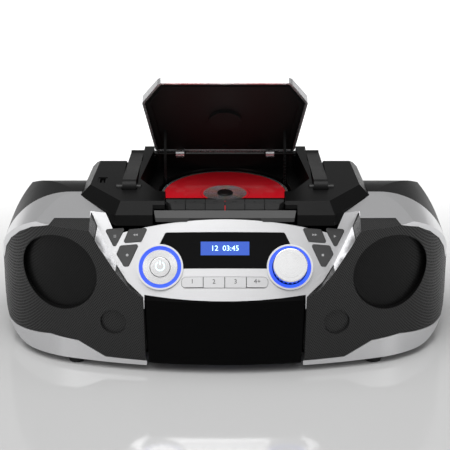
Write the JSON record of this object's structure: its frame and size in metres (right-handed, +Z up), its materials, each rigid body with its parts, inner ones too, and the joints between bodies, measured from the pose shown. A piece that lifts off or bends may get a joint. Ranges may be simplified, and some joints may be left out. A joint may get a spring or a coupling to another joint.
{
  "type": "portable stereo",
  "caption": "Portable stereo with bowed two-pod front, leaning control panel, top disc well under a hinged lid, front cassette bay, piano keys and folding handle.",
  "frame": {"origin": "centre of the bounding box in plan, on the plane under the four feet", "axes": "+X to the right seen from the front, the control panel faces -Y, +Z up; the disc lid is open at rest"},
  "size_m": [0.416, 0.2238, 0.235],
  "materials": {
    "black_plastic": "fine moulded texture",
    "blue_light": "lit light pipe",
    "chrome_plastic": "plated",
    "circuit_board": "green solder mask",
    "disc_red": "printed label under lacquer",
    "gloss_black": "polished piano black",
    "grey_plastic": "dark grey satin",
    "grille_mesh": "perforated sheet, black",
    "lacquered_iron": "varnished laminations",
    "lcd_blue": "lit display",
    "paper_cone": "black pulp",
    "rubber": "matt",
    "silver_paint": "satin silver lacquer on moulded plastic",
    "steel": "zinc plated",
    "trim_grey": "mid grey satin",
    "turned_metal": "circular brushed",
    "white_plastic": "natural acetal",
    "window_black": "smoked glossy window"
  },
  "bodies": {
    "cabinet": {"front_cabinet": "black_plastic", "rear_cabinet": "black_plastic", "top_deck": "black_plastic", "silver_bezel": "silver_paint", "left_grille": "grille_mesh", "right_grille": "grille_mesh", "lower_trims": "silver_paint", "key_trim": "trim_grey", "display_window": "window_black", "lcd_module": "lcd_blue", "light_rings": "blue_light", "standby_plate": "turned_metal", "front_board": "circuit_board", "main_board": "circuit_board", "tape_chassis": "steel", "tape_motor": "steel", "drive_belt": "rubber", "cd_chassis": "steel", "hinge_pins": "steel", "speaker_drivers": "steel", "speaker_cones": "paper_cone", "power_transformer": "lacquered_iron", "mains_inlet": "black_plastic", "jack_sockets": "black_plastic", "battery_springs": "steel", "feet": "rubber", "cabinet_screws": "steel"},
    "lid": {"lid_shell": "silver_paint", "lid_liner": "black_plastic"},
    "pinion": {"damper_pinion": "white_plastic"},
    "handle": {"carry_handle": "black_plastic"},
    "door": {"cassette_door": "gloss_black", "cassette_holder": "black_plastic"},
    "volume": {"volume_knob": "chrome_plastic"},
    "standby": {"power_button": "turned_metal"},
    "source": {"source_button": "grey_plastic"},
    "previous": {"previous_button": "grey_plastic"},
    "menu": {"menu_button": "grey_plastic"},
    "next": {"next_button": "grey_plastic"},
    "play": {"play_button": "grey_plastic"},
    "stop": {"stop_button": "grey_plastic"},
    "preset_1": {"preset_button_1": "silver_paint"},
    "preset_2": {"preset_button_2": "silver_paint"},
    "preset_3": {"preset_button_3": "silver_paint"},
    "preset_4": {"preset_button_4": "silver_paint"},
    "key_1": {"cassette_key_1": "grey_plastic"},
    "key_2": {"cassette_key_2": "grey_plastic"},
    "key_3": {"cassette_key_3": "grey_plastic"},
    "key_4": {"cassette_key_4": "grey_plastic"},
    "key_5": {"cassette_key_5": "grey_plastic"},
    "key_6": {"cassette_key_6": "grey_plastic"},
    "disc": {"compact_disc": "disc_red", "cd_spindle": "black_plastic"},
    "sled": {"laser_sled": "white_plastic"},
    "supply": {"supply_reel": "white_plastic"},
    "takeup": {"takeup_reel": "white_plastic"},
    "capstan": {"flywheel": "steel"},
    "battery_door": {"battery_cover": "black_plastic"},
    "aerial": {"antenna_mast": "steel"},
    "aerial_rod": {"antenna_rod": "steel"}
  },
  "joints": [
    {"name": "lid_hinge", "type": "hinge", "parent": "cabinet", "child": "lid", "pos_m": [0, 0.084, 0.138], "axis": [1, 0, 0], "range_deg": [0, 52]},
    {"name": "pinion_turn", "type": "hinge", "parent": "cabinet", "child": "pinion", "pos_m": [0.057, 0.05145, 0.10657], "axis": [1, 0, 0], "range_deg": [-417, 1]},
    {"name": "handle_fold", "type": "hinge", "parent": "cabinet", "child": "handle", "pos_m": [0, -0.022, 0.143], "axis": [1, 0, 0], "range_deg": [0, 90]},
    {"name": "door_hinge", "type": "hinge", "parent": "cabinet", "child": "door", "pos_m": [0, -0.0995, 0.017], "axis": [1, 0, 0], "range_deg": [0, 30]},
    {"name": "volume_turn", "type": "hinge", "parent": "cabinet", "child": "volume", "pos_m": [0.057, -0.08879, 0.093], "axis": [0, -0.8387, 0.5446], "continuous": true},
    {"name": "standby_press", "type": "slide", "parent": "cabinet", "child": "standby", "axis": [0, 0.8387, -0.5446], "range_m": [0, 0.0009], "stiffness_N_per_m": 600},
    {"name": "source_press", "type": "slide", "parent": "cabinet", "child": "source", "axis": [0, 0.8387, -0.5446], "range_m": [0, 0.0009], "stiffness_N_per_m": 600},
    {"name": "previous_press", "type": "slide", "parent": "cabinet", "child": "previous", "axis": [0, 0.8387, -0.5446], "range_m": [0, 0.0009], "stiffness_N_per_m": 600},
    {"name": "menu_press", "type": "slide", "parent": "cabinet", "child": "menu", "axis": [0, 0.8387, -0.5446], "range_m": [0, 0.0009], "stiffness_N_per_m": 600},
    {"name": "next_press", "type": "slide", "parent": "cabinet", "child": "next", "axis": [0, 0.8387, -0.5446], "range_m": [0, 0.0009], "stiffness_N_per_m": 600},
    {"name": "play_press", "type": "slide", "parent": "cabinet", "child": "play", "axis": [0, 0.8387, -0.5446], "range_m": [0, 0.0009], "stiffness_N_per_m": 600},
    {"name": "stop_press", "type": "slide", "parent": "cabinet", "child": "stop", "axis": [0, 0.8387, -0.5446], "range_m": [0, 0.0009], "stiffness_N_per_m": 600},
    {"name": "preset_1_press", "type": "slide", "parent": "cabinet", "child": "preset_1", "axis": [0, 0.8387, -0.5446], "range_m": [0, 0.0009], "stiffness_N_per_m": 600},
    {"name": "preset_2_press", "type": "slide", "parent": "cabinet", "child": "preset_2", "axis": [0, 0.8387, -0.5446], "range_m": [0, 0.0009], "stiffness_N_per_m": 600},
    {"name": "preset_3_press", "type": "slide", "parent": "cabinet", "child": "preset_3", "axis": [0, 0.8387, -0.5446], "range_m": [0, 0.0009], "stiffness_N_per_m": 600},
    {"name": "preset_4_press", "type": "slide", "parent": "cabinet", "child": "preset_4", "axis": [0, 0.8387, -0.5446], "range_m": [0, 0.0009], "stiffness_N_per_m": 600},
    {"name": "key_1_rock", "type": "hinge", "parent": "cabinet", "child": "key_1", "pos_m": [0, -0.04, 0.134], "axis": [1, 0, 0], "range_deg": [0, 8], "stiffness_Nm_per_rad": 0.5},
    {"name": "key_2_rock", "type": "hinge", "parent": "cabinet", "child": "key_2", "pos_m": [0, -0.04, 0.134], "axis": [1, 0, 0], "range_deg": [0, 8], "stiffness_Nm_per_rad": 0.5},
    {"name": "key_3_rock", "type": "hinge", "parent": "cabinet", "child": "key_3", "pos_m": [0, -0.04, 0.134], "axis": [1, 0, 0], "range_deg": [0, 8], "stiffness_Nm_per_rad": 0.5},
    {"name": "key_4_rock", "type": "hinge", "parent": "cabinet", "child": "key_4", "pos_m": [0, -0.04, 0.134], "axis": [1, 0, 0], "range_deg": [0, 8], "stiffness_Nm_per_rad": 0.5},
    {"name": "key_5_rock", "type": "hinge", "parent": "cabinet", "child": "key_5", "pos_m": [0, -0.04, 0.134], "axis": [1, 0, 0], "range_deg": [0, 8], "stiffness_Nm_per_rad": 0.5},
    {"name": "key_6_rock", "type": "hinge", "parent": "cabinet", "child": "key_6", "pos_m": [0, -0.04, 0.134], "axis": [1, 0, 0], "range_deg": [0, 8], "stiffness_Nm_per_rad": 0.5},
    {"name": "disc_spin", "type": "hinge", "parent": "cabinet", "child": "disc", "pos_m": [0, 0.025, 0.118], "axis": [0, 0, 1], "continuous": true},
    {"name": "sled_slide", "type": "slide", "parent": "cabinet", "child": "sled", "axis": [1, 0, 0], "range_m": [0, 0.03]},
    {"name": "supply_turn", "type": "hinge", "parent": "cabinet", "child": "supply", "pos_m": [-0.02125, -0.084, 0.042], "axis": [0, 1, 0], "continuous": true},
    {"name": "takeup_turn", "type": "hinge", "parent": "cabinet", "child": "takeup", "pos_m": [0.02125, -0.084, 0.042], "axis": [0, 1, 0], "continuous": true},
    {"name": "capstan_turn", "type": "hinge", "parent": "cabinet", "child": "capstan", "pos_m": [0.016, -0.084, 0.052], "axis": [0, 1, 0], "continuous": true},
    {"name": "battery_cover_pull", "type": "slide", "parent": "cabinet", "child": "battery_door", "axis": [0, 1, 0], "range_m": [0, 0.06]},
    {"name": "aerial_swing", "type": "hinge", "parent": "cabinet", "child": "aerial", "pos_m": [0.096, 0.107, 0.082], "axis": [0, 0, -1], "range_deg": [0, 90]},
    {"name": "aerial_extend", "type": "slide", "parent": "aerial", "child": "aerial_rod", "axis": [-1, 0, 0], "range_m": [0, 0.15]}
  ],
  "couplings": [
    {"joint": "pinion_turn", "follows": "lid_hinge", "ratio": -8}
  ]
}
